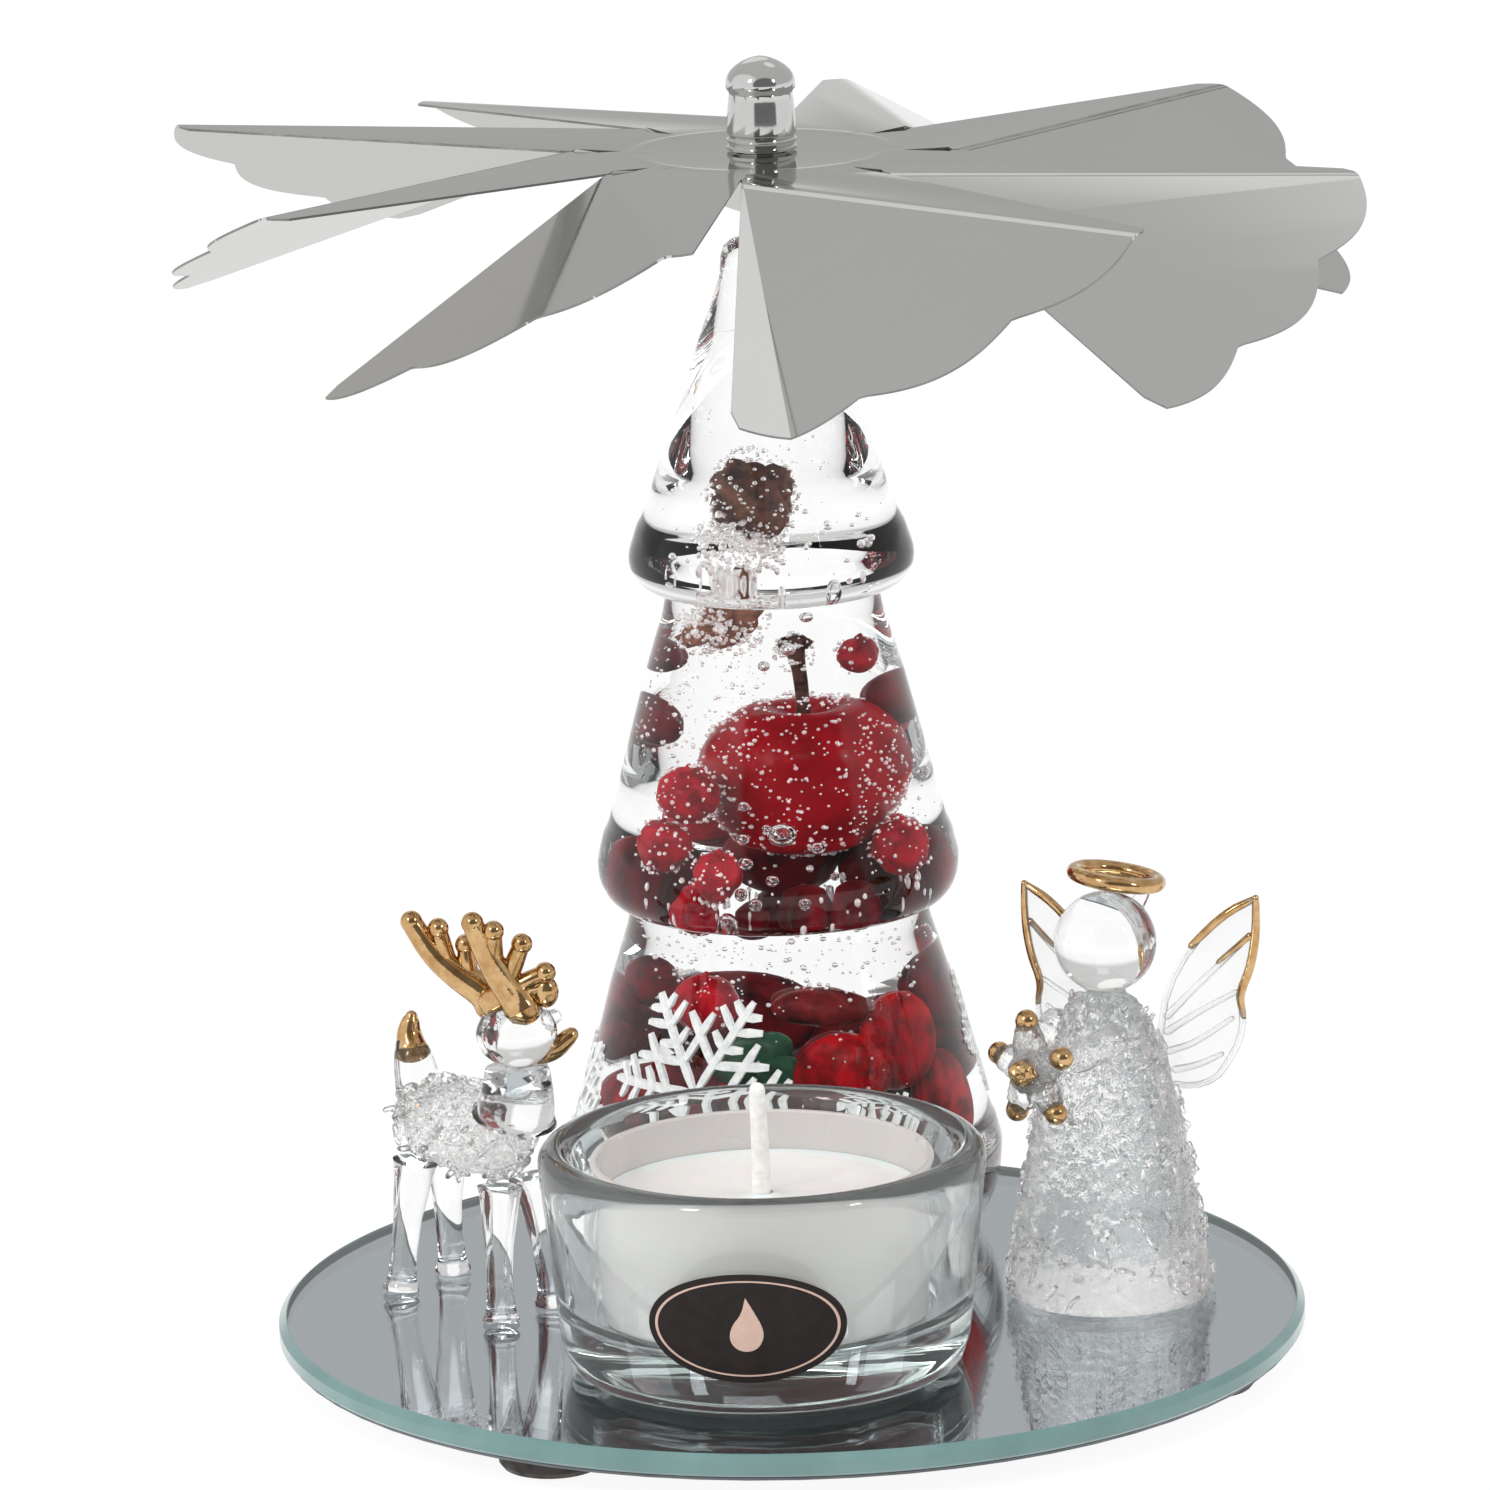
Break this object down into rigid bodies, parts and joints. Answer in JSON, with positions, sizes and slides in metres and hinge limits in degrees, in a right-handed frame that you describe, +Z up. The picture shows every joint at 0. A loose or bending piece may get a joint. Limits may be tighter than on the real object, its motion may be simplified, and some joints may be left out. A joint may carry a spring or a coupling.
{
  "type": "tealight carousel",
  "caption": "Table ornament with a bladed rotor that turns on a needle above a gel-filled glass tree, driven by a tealight in a glass holder on a round mirror plate.",
  "frame": {"origin": "centre of the mirror plate's underside", "axes": "+Z up along the tree and the rotor's axis, -Y towards the tealight, +X towards the angel"},
  "size_m": [0.1388, 0.1584, 0.1482],
  "materials": {
    "plate_glass": "clear float glass, polished green edge",
    "silvering": "silvered back, grey protective paint below",
    "foot_rubber": "matt",
    "holder_glass": "thick clear pressed glass, faint green tint",
    "label_foil": "dark satin foil with a pale rose line",
    "tree_glass": "clear, fire polished",
    "plug_resin": "clear cast resin",
    "clear_gel": "crystal clear gel with trapped bubbles",
    "needle_steel": "bright drawn",
    "berry_red": "glossy, fine bubbles on it",
    "rosehip_red": "glossy deep red",
    "cranberry": "dark red",
    "apple_red": "satin red with darker streaks",
    "dried_bark": "dried brown plant matter",
    "leaf_green": "dark green woven leaf",
    "figure_glass": "clear lamp-worked glass, spun threads on coat and dress",
    "gold_lustre": "bright gold lustre fired on glass",
    "bearing_glass": "clear",
    "rotor_sheet": "bright polished sheet",
    "cap_chrome": "mirror bright",
    "ring_steel": "bright",
    "cup_plastic": "white, slightly translucent",
    "wax": "white paraffin",
    "wick_cotton": "white braided, waxed",
    "sustainer_tin": "tinned"
  },
  "bodies": {
    "base": {"mirror_plate": "plate_glass", "mirror_backing": "silvering", "foot_1": "foot_rubber", "foot_2": "foot_rubber", "foot_3": "foot_rubber", "foot_4": "foot_rubber", "tealight_holder": "holder_glass", "holder_label": "label_foil", "tree_vessel": "tree_glass", "tree_plug": "plug_resin", "gel_filling": "clear_gel", "needle": "needle_steel", "berry_1": "berry_red", "berry_2": "berry_red", "berry_3": "berry_red", "berry_4": "berry_red", "berry_5": "berry_red", "berry_6": "berry_red", "berry_7": "berry_red", "berry_8": "berry_red", "berry_9": "berry_red", "berry_10": "berry_red", "rosehip_1": "rosehip_red", "rosehip_2": "rosehip_red", "rosehip_3": "rosehip_red", "rosehip_4": "rosehip_red", "cranberry_slice": "cranberry", "apple": "apple_red", "apple_stem": "dried_bark", "rose_bud": "dried_bark", "dried_petal": "dried_bark", "leaf": "leaf_green", "deer_body": "figure_glass", "deer_neck": "figure_glass", "deer_head": "figure_glass", "deer_leg_1": "figure_glass", "deer_leg_2": "figure_glass", "deer_leg_3": "figure_glass", "deer_leg_4": "figure_glass", "deer_snout": "gold_lustre", "deer_tail": "gold_lustre", "deer_antler_left": "gold_lustre", "deer_antler_right": "gold_lustre", "angel_dress": "figure_glass", "angel_head": "figure_glass", "angel_wing_left": "figure_glass", "angel_wing_right": "figure_glass", "angel_arms": "figure_glass", "angel_star": "figure_glass", "angel_halo": "gold_lustre"},
    "bearing": {"bearing_cup": "bearing_glass"},
    "rotor": {"rotor_disc": "rotor_sheet", "bearing_cap": "cap_chrome", "retaining_ring": "ring_steel"},
    "tealight": {"tealight_cup": "cup_plastic", "tealight_wax": "wax", "wick": "wick_cotton", "wick_sustainer": "sustainer_tin"}
  },
  "joints": [
    {"name": "rotor_lift", "type": "slide", "parent": "base", "child": "bearing", "axis": [0, 0, 1], "range_m": [0, 0.02]},
    {"name": "rotor_spin", "type": "hinge", "parent": "bearing", "child": "rotor", "pos_m": [0, 0.029, 0.1338], "axis": [0, 0, 1], "continuous": true},
    {"name": "tealight_lift", "type": "slide", "parent": "base", "child": "tealight", "axis": [0, 0, 1], "range_m": [0, 0.03]}
  ]
}
